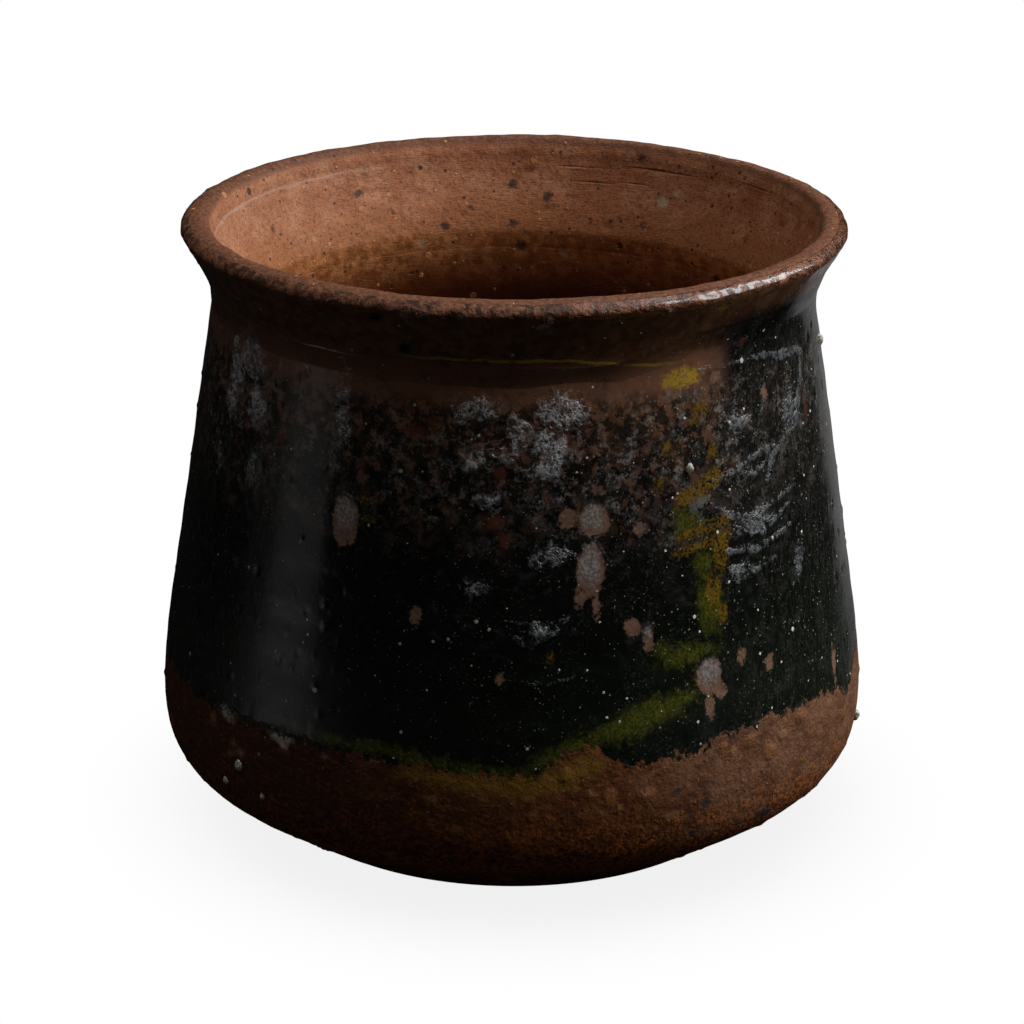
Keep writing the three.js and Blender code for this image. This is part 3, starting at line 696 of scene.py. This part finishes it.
def inner_layers(f):
    """The matt pinkish flare, and the thin orange-brown glaze that starts at the throat."""
    cloud, sand, bands = f.grain(7, seed=4), f.grain(0.8, seed=6), f.grain(1.5, 3, stretch=0.12, seed=7)
    fine, wobble = f.grain(0.45, 2, seed=8), f.grain(0.8, seed=16)
    colour = f.mix(f.rise(cloud, 0.35, 0.65), *FLARE_CLAY)
    # Pale turning lines, painted on the left of the flare only, where the key light falls: painted light on
    # real rings
    lit_turning_lines = f.times(f.rise(bands, 0.45, 0.7), f.rise(f.side, 0, -100), 0.7)
    colour = f.mix(lit_turning_lines, colour, (0.33, 0.2, 0.15))
    drift = f.times(f.plus(cloud, -0.5), 8)
    colour = f.mix(f.times(f.rise(f.plus(f.height, drift), 105, 98), 0.8), colour, (0.29, 0.105, 0.036))
    colour = f.mix(f.times(f.rise(sand, 0.5, 0.36), 0.5), colour, (0.12, 0.038, 0.014))
    crest = f.rise(f.plus(f.height, f.times(f.plus(sand, -0.5), 1.5)), 111.6, 113)
    colour = f.mix(crest, colour, f.mix(f.rise(sand, 0.4, 0.6), (0.085, 0.03, 0.013), (0.15, 0.058, 0.028)))
    lining = f.mix(f.rise(f.grain(2.2, seed=14), 0.4, 0.6), *LINING_COLOURS)
    # Darker deeper down inside: painted shade in the depth of the pot
    lining = f.mix(f.rise(f.plus(f.height, drift), 95.5, 83), lining, DEEP_LINING_SHADE)
    deep = f.rise(f.plus(f.height, f.times(f.plus(cloud, -0.5), 4)), 97.4, 94.8)
    colour = f.mix(deep, colour, lining)
    colour = f.mix(f.times(f.rise(fine, 0.45, 0.3), 0.5), colour, (0.05, 0.016, 0.007))
    dark, specks = f.dots(5.5, 0.8, 0.35, seed=23), f.dots(1.9, 0.4, 0.5, seed=29)
    pale, larger = f.dots(1.9, 0.4, 0.45, seed=37), f.dots(4.1, 0.75, 0.35, seed=38)
    dark = f.calc("MAXIMUM", dark, f.mark("iron_inside", 1.4, 0.4, wobble))
    light = f.calc("MAXIMUM", pale, larger)
    colour = f.mix(f.times(f.calc("MAXIMUM", dark, specks), 0.85), colour, (0.018, 0.013, 0.014))
    colour = f.mix(f.times(light, 0.6), colour, (0.5, 0.23, 0.075))
    colour = f.mix(f.times(f.mark("pale_inside", 0.8, 0.3, wobble), 0.6), colour, (0.36, 0.33, 0.22))
    # A pale line along the groove, on the left only: a painted highlight where its edge catches the key light
    groove_highlight = f.calc("ABSOLUTE", f.plus(f.height, f.times(f.plus(cloud, -0.5), 1.5), -GROOVE_HIGHLIGHT_HEIGHT), 0)
    groove_highlight = f.times(f.rise(groove_highlight, 0.45, 0.1), f.rise(f.side, -12, -45))
    colour = f.mix(f.times(groove_highlight, 0.5), colour, (0.42, 0.27, 0.2))
    cut = f.rise(f.kept("inner_cut"), -0.5, 0.1)
    colour = f.mix(f.times(cut, 0.6), colour, (0.06, 0.025, 0.014))
    roughness = f.level(deep, f.level(sand, 0.6, 0.75), 0.24)
    relief = f.plus(f.times(sand, 0.08), f.times(bands, 0.12), f.times(light, 0.12), f.times(dark, -0.08))
    return colour, roughness, f.plus(relief, f.times(cut, -0.3), f.times(f.grain(2.6, seed=27), 0.3))


stoneware = Finish("stoneware")
stoneware.shader.inputs["Specular IOR Level"].default_value = 0.2
share_inside = stoneware.rise(stoneware.kept("inside"), 0.4, 0.6)
outer, inner = outer_wall(stoneware), inner_layers(stoneware)
body_colour = stoneware.mix(share_inside, outer[0], inner[0])
body_roughness = stoneware.level(share_inside, outer[1], inner[1])
body_relief = stoneware.level(share_inside, outer[2], inner[2])
store(clay, "inside", (~on_outside & (height > 7)).astype(float))
store(clay, "iron_inside", patch(where, IRON_INSIDE))
store(clay, "pale_inside", patch(where, PALE_INSIDE))
store(clay, "inner_cut", stroke(where, INNER_CUTS))
clay.data.materials.append(stoneware.finish(body_colour, body_roughness, body_relief))
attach(clay, "root")
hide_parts("stoneware_body")

# The outer glaze
# A coat of iron-black glaze, poured over the clay and fired to a thin glassy skin that breaks to brown and
# ochre. It ends in ragged runs above the foot and at a soft line under the rim.
GLAZE_STEPS, GLAZE_ROWS, GLAZE_BACK_ROWS = 720, 114, 10
GLAZE_OUT, GLAZE_IN, GLAZE_SUNK = 0.12, -0.3, -0.16
FINER_IN_FRONT, GLAZE_LUMPINESS = 20, 0.012
open_levels = np.linspace(DRIP_LINE, GLAZE_TOP, GLAZE_ROWS + 1)
back_levels = np.linspace(GLAZE_TOP, DRIP_LINE, GLAZE_BACK_ROWS + 1)
glaze_outline = [(wall_radius(level), level) for level in open_levels]
glaze_outline += [(wall_radius(level) + GLAZE_IN, level) for level in back_levels]
glaze = turn_on_wheel("outer_glaze", glaze_outline + glaze_outline[:1], GLAZE_STEPS)
turn, height, radius = whereabouts(glaze)
turn -= FINER_IN_FRONT * np.sin(np.radians(turn))
share = (height - DRIP_LINE) / (GLAZE_TOP - DRIP_LINE)
outer_face = radius > wall_radius(height) - 0.1
low_edge, high_edge = drip_edge(turn), top_edge(turn)
height = low_edge + share * (high_edge - low_edge)
edge, under_top = height - low_edge, high_edge - height
from_clay = np.minimum(ramp(edge, 0, 1.4), ramp(under_top, 0, 1.4))
skin_height = GLAZE_SUNK * (1 - from_clay) + GLAZE_OUT * ramp(edge, 1.4, 4) * ramp(under_top, 1.4, 8)
radius = wall_radius(height) + np.where(outer_face, skin_height, GLAZE_IN)
lay(glaze, turn, height, radius)
where = turn, height, radius
relief = unevenness(glaze) + wheel_relief(*where)
grains = bumps(turn, height, scatter(420, 8, ALL_ROUND, (34, 100), (0.3, 0.7)), 0.3)
pinholes = bumps(turn, height, scatter(240, 9, ALL_ROUND, (34, 100), (0.4, 0.8)), -0.3)
ridges = 0.12 * ramp(stroke(where, WRINKLES), -0.8, 0.3) + 0.06 * ramp(patch(where, SCUM), -1, 1)
sunk_spots = -0.08 * ramp(patch(where, PINK), -0.6, 0.4)
small_relief = (grains + pinholes + ridges + sunk_spots) * outer_face
relief += small_relief * ramp(edge, 0.5, 2) * ramp(under_top, 0.5, 2)
relief += GLAZE_LUMPINESS * lumps(glaze, *SKIN_LUMPS)
lean = np.hypot(1, wall_radius(height + 0.5) - wall_radius(height - 0.5))
lay(glaze, turn, height, radius + relief * lean)
store(glaze, "edge", edge)
mark_wall(glaze, *where)
dark_glaze = Finish("dark_glaze")
glaze.data.materials.append(dark_glaze.finish(*outer_wall(dark_glaze)))
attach(glaze, "root")
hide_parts("dark_glaze")

# The lining
# A thin orange-brown glaze, swilled round the inside and poured out again, so that it starts at the throat
# and covers the wall and the floor.
LINING_STEPS, LINING_LUMPINESS = 480, 0.02
LINING_SUNK, LINING_PROUD, LINING_THICK = 0.25, 0.1, 0.3
inner_face = [point for point in curve(THROAT, *wall_pulls, CORNER, 90) if point[1] < LINING_TOP]
inner_face += curve(CORNER, *floor_pulls, FLOOR, 24)
below = [LINING_TOP - h for r, h in inner_face]
sunk = [LINING_SUNK * (1 - ramp(d, 0, 1.7)) - LINING_PROUD * ramp(d, 1.7, 7) for d in below]
open_face = [(r + deep, h + LINING_PROUD * (r < 50 and h < 20)) for (r, h), deep in zip(inner_face, sunk)]
back_face = [(r + LINING_THICK * (h > 12), h - LINING_THICK * (h <= 12)) for r, h in inner_face[::5]]
floor_radii = [24, 12, 4, 0]
lining_outline = [*back_face, *((r, FLOOR[1] - LINING_THICK) for r in (FLOOR[0], *floor_radii))]
lining_outline += [*((r, FLOOR[1] + LINING_PROUD) for r in reversed(floor_radii)), *reversed(open_face)]
lining = turn_on_wheel("lining", lining_outline + lining_outline[:1], LINING_STEPS)
turn, height, radius = where = whereabouts(lining)
relief = unevenness(lining) + LINING_LUMPINESS * lumps(lining, *SKIN_LUMPS)
rings = 2 * RING_RELIEF * np.cos((height - RING_START) * math.tau / RING_PITCH)
relief += rings * ramp(height, 14, 24) * ramp(height, 92, 84)
press(lining, relief * ramp(height, 7.55, 8))
store(lining, "iron_inside", patch(where, IRON_INSIDE))
store(lining, "pale_inside", patch(where, PALE_INSIDE))
store(lining, "inner_cut", stroke(where, INNER_CUTS))
liner_glaze = Finish("liner_glaze")
lining.data.materials.append(liner_glaze.finish(*inner_layers(liner_glaze)))
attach(lining, "root")
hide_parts("liner_glaze")

# The pale stones
# Grains of quartz and feldspar in the clay, which melted round in the firing and stand out of the wall.
# Each takes the place and the size of its solid in the CAD part.
STONE_SHAPE, STONE_SUNK, STONE_LIFT = (0.85, 0.8, 1.0), 0.35, 0.0001
STONE_GRAIN, STONE_ROUGHNESS = 0.9, 0.5
grain_finish = Finish("pale_stone")
chalk = grain_finish.grain(0.5, seed=3)
chalk_colour = grain_finish.mix(grain_finish.rise(chalk, 0.4, 0.62), (0.22, 0.2, 0.15), (0.5, 0.48, 0.38))
chalk_roughness, chalk_relief = grain_finish.level(chalk, 0.3, 0.6), grain_finish.times(chalk, 0.05)
pale_stone = grain_finish.finish(chalk_colour, chalk_roughness, chalk_relief)
roughen = bpy.data.textures.new("grain_roughness", "CLOUDS")
roughen.noise_scale = STONE_GRAIN * MM
stone_nodes = sorted(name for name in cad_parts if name.startswith(("pale_stone", "grit_burr")))
for node in stone_nodes:
    low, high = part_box(node)
    centre = (low + high) / 2
    angle = math.atan2(centre.x, -centre.y)
    half = (high.z - low.z) / 2
    out = wall_radius(centre.z / MM) * MM + STONE_LIFT - half * STONE_SUNK
    bpy.ops.object.select_all(action="DESELECT")
    bpy.ops.mesh.primitive_ico_sphere_add(subdivisions=5, radius=half)
    stone = bpy.context.object
    stone.name = stone.data.name = node.replace("pale_stone", "stone").replace("grit_burr", "burr")
    bpy.ops.object.mode_set(mode="EDIT")
    bpy.ops.mesh.select_all(action="SELECT")
    bpy.ops.transform.resize(value=STONE_SHAPE)
    bpy.ops.transform.translate(value=(out * math.sin(angle), -out * math.cos(angle), centre.z))
    bpy.ops.object.mode_set(mode="OBJECT")
    displace = stone.modifiers.new("roughen", "DISPLACE")
    displace.texture = roughen
    displace.texture_coords = "LOCAL"
    displace.strength = STONE_ROUGHNESS * MM
    bpy.ops.object.modifier_apply(modifier="roughen")
    bpy.ops.object.shade_smooth()
    stone.data.materials.append(pale_stone)
    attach(stone, "root")
    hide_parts(node)

# The studio
# A pale floor that runs out of sight. It glows evenly to the camera, with a painted soft shadow under the
# pot, and is dim to other rays. A broad key light from the right and one above. Three panels make one tall
# band in the glaze on the left, a dim one stands beside it, and one behind makes the sheen on the right.
FLOOR_WIDTH, FLOOR_DROP, SHADE_REACH = 12, 0.2, 0.032
bpy.ops.object.select_all(action="DESELECT")
bpy.ops.mesh.primitive_plane_add(size=FLOOR_WIDTH)
ground = bpy.context.object
ground.name = "ground"
bpy.ops.object.mode_set(mode="EDIT")
bpy.ops.transform.translate(value=(0, 0, -FLOOR_DROP * MM))
bpy.ops.object.mode_set(mode="OBJECT")
stage_paint = Finish("stage")
open_sky = stage_paint.add("ShaderNodeAmbientOcclusion", {"Distance": SHADE_REACH}, output=1)
# The floor's glow drops where the pot is near: a painted contact shadow
glow_with_painted_shadow = stage_paint.level(stage_paint.rise(open_sky, 0.1, 0.95), 0.865, 1.0)
glow = stage_paint.add("ShaderNodeEmission", {"Strength": glow_with_painted_shadow})
dim = stage_paint.add("ShaderNodeBsdfDiffuse", {"Color": (0.035, 0.035, 0.035, 1)})
seen = stage_paint.add("ShaderNodeLightPath", {})
surface = stage_paint.add("ShaderNodeMixShader", {0: seen, 1: dim, 2: glow})
stage_paint.tree.links.new(surface, stage_paint.tree.nodes["Material Output"].inputs[0])
ground.data.materials.append(stage_paint.material)
ground.visible_glossy = ground.visible_shadow = False

world = bpy.data.worlds.new("studio")
bpy.context.scene.world = world
world.use_nodes = True
backdrop = world.node_tree.nodes["Background"]
to_camera = world.node_tree.nodes.new("ShaderNodeLightPath").outputs["Is Camera Ray"]
strength = world.node_tree.nodes.new("ShaderNodeMapRange")
strength.inputs["To Min"].default_value = 0.004
world.node_tree.links.new(to_camera, strength.inputs["Value"])
world.node_tree.links.new(strength.outputs[0], backdrop.inputs["Strength"])
backdrop.inputs["Color"].default_value = (1, 1, 1, 1)

AIM = Vector((0, 0, 0.0555))


def softbox(name, azimuth, elevation, distance, width, tall, watts):
    """A rectangular light that looks at the pot. Azimuth 0 is the front, and it grows towards +X."""
    a, e = math.radians(azimuth), math.radians(elevation)
    way = Vector((math.sin(a) * math.cos(e), -math.cos(a) * math.cos(e), math.sin(e)))
    lamp = bpy.data.lights.new(name, "AREA")
    lamp.shape = "RECTANGLE"
    lamp.size, lamp.size_y, lamp.energy = width, tall, watts
    light = bpy.data.objects.new(name, lamp)
    bpy.context.scene.collection.objects.link(light)
    light.location = AIM + way * distance
    light.rotation_euler = way.to_track_quat("Z", "Y").to_euler()
    light.visible_camera = False


softbox("key", 97, 41, 1.2, 1.1, 0.7, 20)
softbox("above", 0, 90, 1.2, 1.3, 1.3, 9.5)
softbox("left", -72, 2.7, 0.36, 0.115, 0.079, 0.0043)
softbox("left_middle", -72, -6.7, 0.362, 0.115, 0.04, 0.0023)
softbox("left_low", -72, -17.5, 0.375, 0.115, 0.1, 0.0155)
softbox("left_dim", -87, -12, 0.36, 0.07, 0.19, 0.0015)
softbox("behind", 156, -17, 0.6, 0.34, 0.17, 0.036)

# The camera stands where the photograph was taken from
CAMERA_DISTANCE, CAMERA_ELEVATION, CAMERA_ROLL = 0.6, math.radians(20.4), math.radians(0.3)
PIXELS_PER_MM, FRAME_PIXELS, SENSOR = 5.3533, 1024, 36
camera_data = bpy.data.cameras.new("camera")
camera = bpy.data.objects.new("camera", camera_data)
bpy.context.scene.collection.objects.link(camera)
bpy.context.scene.camera = camera
back = Vector((0, -math.cos(CAMERA_ELEVATION), math.sin(CAMERA_ELEVATION)))
camera.location = AIM + back * CAMERA_DISTANCE
camera.rotation_euler = (back.to_track_quat("Z", "Y") @ Quaternion((0, 0, 1), CAMERA_ROLL)).to_euler()
camera_data.sensor_width = SENSOR
camera_data.lens = PIXELS_PER_MM * (CAMERA_DISTANCE / MM) / FRAME_PIXELS * SENSOR
camera_data.shift_x = -1 / FRAME_PIXELS
camera_data.shift_y = -0.5 / FRAME_PIXELS
bpy.context.scene.view_settings.view_transform = "Standard"
